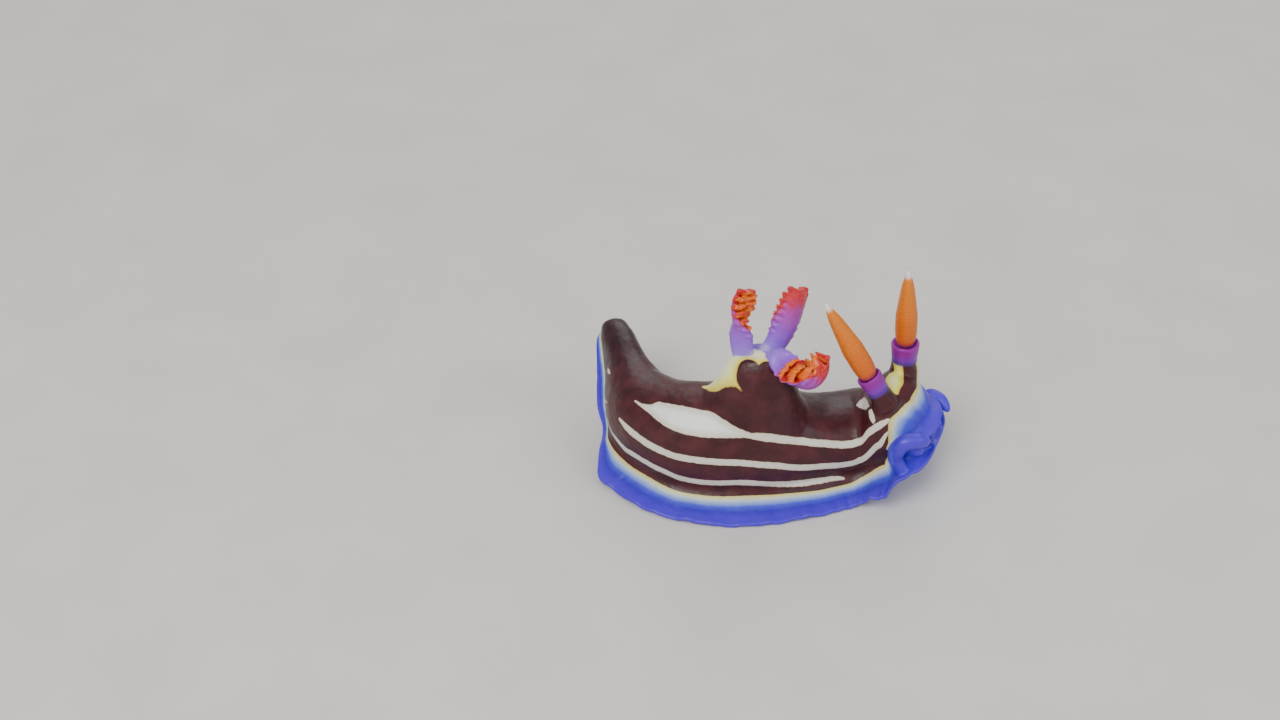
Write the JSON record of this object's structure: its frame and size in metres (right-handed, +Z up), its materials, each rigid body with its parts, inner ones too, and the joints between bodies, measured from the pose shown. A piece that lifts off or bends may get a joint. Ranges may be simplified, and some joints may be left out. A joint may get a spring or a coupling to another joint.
{
  "type": "nudibranch",
  "caption": "Sea slug with a tall striped body, a broad frilled foot, plumed gills on a hump and ridged feelers, its tail and head raised.",
  "frame": {"origin": "centre of the bounding box at the bottom, on the floor under the foot", "axes": "+X towards the head along the stretch of body that lies flat, +Z up, the animal's right side towards -Y"},
  "size_m": [0.0491, 0.0318, 0.0307],
  "materials": {
    "tail": "moist",
    "body_rear": "moist",
    "body_middle": "moist",
    "body_front": "moist",
    "head": "moist",
    "foot_tail": "moist",
    "foot_rear": "moist",
    "foot_middle": "moist",
    "foot_front": "moist",
    "rhinophore_right": "moist",
    "rhinophore_left": "moist",
    "gill_upright": "moist",
    "gill_leaning": "moist",
    "gill_drooping": "moist"
  },
  "bodies": {
    "root": {"tail": "tail", "body_rear": "body_rear", "body_middle": "body_middle", "body_front": "body_front", "head": "head", "foot_tail": "foot_tail", "foot_rear": "foot_rear", "foot_middle": "foot_middle", "foot_front": "foot_front", "rhinophore_right": "rhinophore_right", "rhinophore_left": "rhinophore_left", "gill_upright": "gill_upright", "gill_leaning": "gill_leaning", "gill_drooping": "gill_drooping"}
  },
  "joints": []
}
